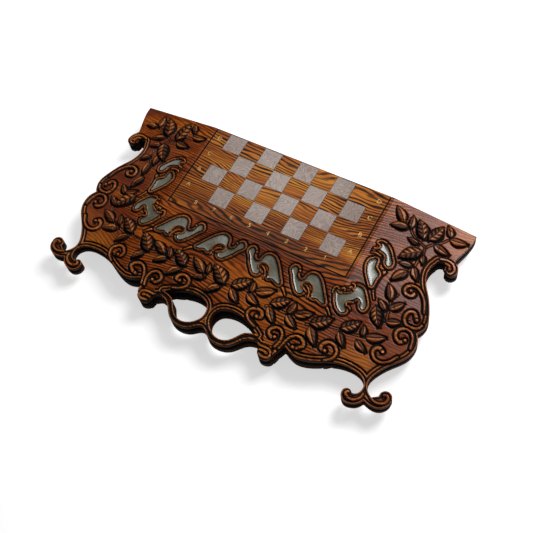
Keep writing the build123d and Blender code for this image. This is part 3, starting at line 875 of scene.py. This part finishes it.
def sapShare(tree, xyz, sideways):
    # Golden sapwood at the root of each foot.
    flatPlace = addNode(tree, "CombineXYZ", {0: sideways, 1: xyz.outputs["Y"]}).outputs[0]
    toFoot = addNode(tree, "VectorMath", {0: flatPlace, 1: wood["sapPlace"]}, operation="DISTANCE")
    return mapped(tree, toFoot.outputs["Value"], *wood["sapReach"], 0.0, wood["sap"])


def grainMask(tree, place, xyz, outer):
    # Dark ring lines, fading where the wood is calm and towards the wings' ends.
    calmest = (wood["calmest"],) * 3
    calm = ramp(tree, stretchedNoise(tree, place, wood["calm"], 1.0),
                list(zip(wood["calmStops"], (black, calmest))))
    calm = mixed(tree, maths(tree, "MULTIPLY", outer, wood["outerCalm"]), calm, white)
    return mixed(tree, calm, ringLines(tree, place, xyz), white)


def tinted(tree, colour, patches, xyz, sideways, outer, sap):
    # Wine red wings, an amber front, and a browner border outside the chess field.
    wine = maths(tree, "MULTIPLY", outer, ramp(tree, patches, list(zip(wood["wineStops"], (black, white)))))
    wine = maths(tree, "SUBTRACT", wine, sap, clamp=True)
    colour = mixed(tree, maths(tree, "MULTIPLY", wine, wood["wineShare"]), colour, wood["wine"])
    front = mapped(tree, xyz.outputs["Y"], *wood["amberFront"])
    spots = ramp(tree, patches, list(zip(wood["amberStops"], (white, (wood["amberRest"],) * 3))))
    amber = maths(tree, "MULTIPLY", maths(tree, "MULTIPLY", front, spots), wood["amberShare"])
    colour = mixed(tree, amber, colour, wood["amber"])
    border = mapped(tree, fieldEdge(tree, xyz, sideways), 0.0, wood["borderEase"], 0.0, wood["border"])
    return mixed(tree, border, colour, wood["borderTint"], "MULTIPLY")


def carvedWood():
    material, tree, shader = newMaterial("carvedWood")
    place = objectPlace(tree)
    xyz = addNode(tree, "SeparateXYZ", {0: place})
    sideways = maths(tree, "ABSOLUTE", xyz.outputs["X"])
    outer = mapped(tree, sideways, *wood["outerWings"])
    patches = noise(tree, place, wood["patches"], 2.0)
    paintedHighlight, wall, paintedShade = [attribute(tree, name) for name in ("paintedHighlight", "wall", "paintedShade")]
    clouds = mixed(tree, wood["streakShare"], stretchedNoise(tree, place, wood["clouds"], 2.0),
                   stretchedNoise(tree, place, wood["streaks"], 3.0))
    colour = ramp(tree, clouds, list(zip(wood["cloudStops"], (wood["mid"], wood["light"], wood["gold"]))))
    sap = sapShare(tree, xyz, sideways)
    colour = mixed(tree, sap, colour, wood["gold"])
    grain = grainMask(tree, place, xyz, outer)
    colour = mixed(tree, grain, wood["dark"], colour)
    colour = tinted(tree, colour, patches, xyz, sideways, outer, sap)
    # Painted highlight on the tops of ridges, brighter in some patches than in others
    highlightPatches = mapped(tree, stretchedNoise(tree, place, wood["highlightNoise"], 2.0), *wood["highlightRange"])
    colour = mixed(tree, maths(tree, "MULTIPLY", paintedHighlight, highlightPatches), colour, wood["paintedHighlight"])
    lacquer = ramp(tree, patches, list(zip(wood["wallStops"], (wood["wallDark"], wood["wall"]))))
    colour = mixed(tree, wall, colour, lacquer)
    # The dark line round the chess field is a burnt line along its groove, and also stands for the groove's
    # shade; it joins the painted shade
    toLine = maths(tree, "ABSOLUTE", fieldEdge(tree, xyz, sideways))
    paintedShade = maths(tree, "MAXIMUM", paintedShade, maths(tree, "LESS_THAN", toLine, frameMark["halfLine"]))
    # Painted shade darkens the cuts, less where there is painted highlight
    paintedShadeLeft = maths(tree, "SUBTRACT", paintedShade, maths(tree, "MULTIPLY", paintedHighlight, wood["highlightOverShade"]), clamp=True)
    colour = mixed(tree, paintedShadeLeft, colour, wood["paintedShade"])
    height = mixed(tree, wall, grain, white)    # no grain in the lacquered wall
    bump = addNode(tree, "Bump", {"Height": height, "Strength": wood["grainStrength"],
                                  "Distance": wood["grainDepth"]})
    shine = mapped(tree, paintedHighlight, 0.0, wood["fullRub"], wood["roughness"], wood["rubbedRoughness"])
    tree.links.new(colour, shader.inputs["Base Color"])
    tree.links.new(bump.outputs[0], shader.inputs["Normal"])
    tree.links.new(maths(tree, "MULTIPLY_ADD", paintedShade, wood["shadeMatt"], shine), shader.inputs["Roughness"])
    shader.inputs["Specular IOR Level"].default_value = wood["specular"]
    return material


inlay = {"square": 0.033, "lip": 0.0008, "joint": 0.0009, "jointColour": (0.02, 0.02, 0.035)}


def jointMask(tree, place):
    # Dark filler along the edges of the inlaid squares.
    xyz = addNode(tree, "SeparateXYZ", {0: place})
    fromStart = maths(tree, "SUBTRACT", xyz.outputs["Y"], hingeEdge * mm - inlay["lip"])
    gaps = [maths(tree, "PINGPONG", value, inlay["square"] / 2) for value in (xyz.outputs["X"], fromStart)]
    return maths(tree, "LESS_THAN", maths(tree, "MINIMUM", *gaps), inlay["joint"])


pearlTile = {"colours": [(0.265, 0.190, 0.155), (0.345, 0.260, 0.216), (0.45, 0.358, 0.308)],
             "scale": 22.0, "veins": 75.0, "veining": 0.34, "joints": True}
resinWindow = {"colours": [(0.11, 0.104, 0.066), (0.205, 0.20, 0.158), (0.36, 0.375, 0.35)],
               "scale": 40.0, "veins": 34.0, "veining": 0.12, "joints": False}
pearly = {"stops": (0.25, 0.5, 0.75), "swirl": 2.6, "cloudScale": 0.6, "roughness": 0.25, "coat": 0.3,
          "coatRoughness": 0.1}


def pearl(name, kind):
    material, tree, shader = newMaterial(name)
    place = objectPlace(tree)
    swirl = noise(tree, place, kind["scale"], 1.5, pearly["swirl"])
    wave = maths(tree, "SINE", maths(tree, "MULTIPLY", swirl, kind["veins"]))
    cloud = noise(tree, place, kind["scale"] * pearly["cloudScale"], 1.0)
    factor = mixed(tree, kind["veining"], cloud, mapped(tree, wave, -1.0, 1.0))
    colour = ramp(tree, factor, list(zip(pearly["stops"], kind["colours"])))
    if kind["joints"]:
        colour = mixed(tree, jointMask(tree, place), colour, inlay["jointColour"])
    tree.links.new(colour, shader.inputs["Base Color"])
    shader.inputs["Roughness"].default_value = pearly["roughness"]
    shader.inputs["Coat Weight"].default_value = pearly["coat"]
    shader.inputs["Coat Roughness"].default_value = pearly["coatRoughness"]
    return material


veneer = {"grain": (12, 260, 260), "bend": 0.6, "stops": (0.3, 0.7), "bump": 0.2, "depth": 0.0004,
          "roughness": 0.4, "coat": 0.3}


def plainWood(name, dark, light):
    material, tree, shader = newMaterial(name)
    grain = stretchedNoise(tree, objectPlace(tree), veneer["grain"], 4.0, veneer["bend"])
    tree.links.new(ramp(tree, grain, list(zip(veneer["stops"], (dark, light)))), shader.inputs["Base Color"])
    bump = addNode(tree, "Bump", {"Height": grain, "Strength": veneer["bump"], "Distance": veneer["depth"]})
    tree.links.new(bump.outputs[0], shader.inputs["Normal"])
    shader.inputs["Roughness"].default_value = veneer["roughness"]
    shader.inputs["Coat Weight"].default_value = veneer["coat"]
    return material


def metal(name, worn, colour, roughness, metallic=1.0, scale=180.0, detail=3.0, stops=(0.35, 0.65)):
    material, tree, shader = newMaterial(name)
    wear = noise(tree, objectPlace(tree), scale, detail)
    tree.links.new(ramp(tree, wear, list(zip(stops, (worn, colour)))), shader.inputs["Base Color"])
    shader.inputs["Metallic"].default_value = metallic
    shader.inputs["Roughness"].default_value = roughness
    return material


finishes = {
    "carved_slab": carvedWood(),
    "chess_tiles": pearl("pearlTile", pearlTile),
    "windows": pearl("resinWindow", resinWindow),
    "play_panel": plainWood("panelWood", (0.10, 0.040, 0.015), (0.24, 0.10, 0.036)),
    "light_points": plainWood("lightWood", (0.40, 0.24, 0.11), (0.60, 0.40, 0.20)),
    "dark_points": plainWood("darkWood", (0.018, 0.008, 0.004), (0.05, 0.02, 0.01)),
    "hinge": metal("hingeBrass", (0.434, 0.294, 0.112), (0.62, 0.42, 0.16), 0.28),
    "magnets": metal("magnetNickel", (0.385, 0.385, 0.392), (0.55, 0.55, 0.56), 0.2),
    "marks": metal("goldPaint", (0.40, 0.24, 0.05), (0.85, 0.60, 0.20), 0.35, 0.35, 400.0, 2.0, (0.35, 0.6)),
}


def finish(piece, material):
    piece.data.materials.clear()
    piece.data.materials.append(material)


for name, node in nodes.items():
    finish(node, finishes[next(key for key in finishes if key in name)])
for pieces, key in ((woodPieces, "carved_slab"), (resinPieces, "windows"), (markPieces, "marks")):
    for piece in pieces:
        finish(piece, finishes[key])
print("materials")

# Stage, light and camera
studio = {
    "cameraPlace": (0.4748, -0.5285, 1.2165), "cameraView": (-0.3231, 0.3746, -0.8691), "roll": 12.95,
    "lens": 59.78, "sensor": 36, "world": 0.11, "floorSize": 6.0, "floorDrop": 0.0002,
    "floorColour": (0.9, 0.9, 0.9, 1), "floorRoughness": 0.9, "floorGlow": 0.59,
    "key": 23.0, "keyPlace": (0.50, 0.98, 1.40), "keySize": 0.80,
    "fill": 1.2, "fillPlace": (-0.50, 0.72, 1.25), "fillSize": 0.45,
}


def addStage():
    mesh = bmesh.new()
    bmesh.ops.create_grid(mesh, x_segments=1, y_segments=1, size=studio["floorSize"])
    bmesh.ops.translate(mesh, vec=(0, 0, cadBox[0][2] - studio["floorDrop"]), verts=mesh.verts)
    floor = bpy.data.objects.new("floor", toMesh(mesh, "floor"))
    bpy.context.scene.collection.objects.link(floor)
    material, tree, shader = newMaterial("paleFloor")
    shader.inputs["Base Color"].default_value = studio["floorColour"]
    shader.inputs["Roughness"].default_value = studio["floorRoughness"]
    path = addNode(tree, "LightPath")
    glow = maths(tree, "MULTIPLY", path.outputs["Is Camera Ray"], studio["floorGlow"])
    shader.inputs["Emission Color"].default_value = (1, 1, 1, 1)
    tree.links.new(glow, shader.inputs["Emission Strength"])
    floor.data.materials.append(material)


def addLight(name):
    lamp = bpy.data.lights.new(name, "AREA")
    lamp.size = studio[name + "Size"]
    lamp.energy = studio[name]
    place = Vector(studio[name + "Place"])
    holder = bpy.data.objects.new(name, lamp)
    holder.location = place
    holder.rotation_mode = "QUATERNION"
    holder.rotation_quaternion = (-place).to_track_quat("-Z", "Y")
    bpy.context.scene.collection.objects.link(holder)


def addWorld():
    world = bpy.data.worlds.new("studio")
    world.use_nodes = True
    tree = world.node_tree
    background = tree.nodes["Background"]
    path = addNode(tree, "LightPath")
    strength = mapped(tree, path.outputs["Is Camera Ray"], 0.0, 1.0, studio["world"], 1.0)
    tree.links.new(strength, background.inputs["Strength"])
    background.inputs["Color"].default_value = (1, 1, 1, 1)
    bpy.context.scene.world = world


def addCamera():
    camera = bpy.data.cameras.new("camera")
    camera.lens = studio["lens"]
    camera.sensor_width = studio["sensor"]
    camera.clip_start = 0.05
    holder = bpy.data.objects.new("camera", camera)
    forward = Vector(studio["cameraView"]).normalized()
    level = forward.cross(Vector((0, 0, 1))).normalized()
    upright = level.cross(forward)
    roll = math.radians(studio["roll"])
    up = upright * math.cos(roll) + level * math.sin(roll)
    right = forward.cross(up)
    holder.matrix_world = Matrix.Translation(studio["cameraPlace"]) @ Matrix(
        (right, up, -forward)).transposed().to_4x4()
    bpy.context.scene.collection.objects.link(holder)
    bpy.context.scene.camera = holder


addStage()
addLight("key")
addLight("fill")
addWorld()
addCamera()
bpy.context.scene.view_settings.view_transform = "Standard"

print("scene ready")
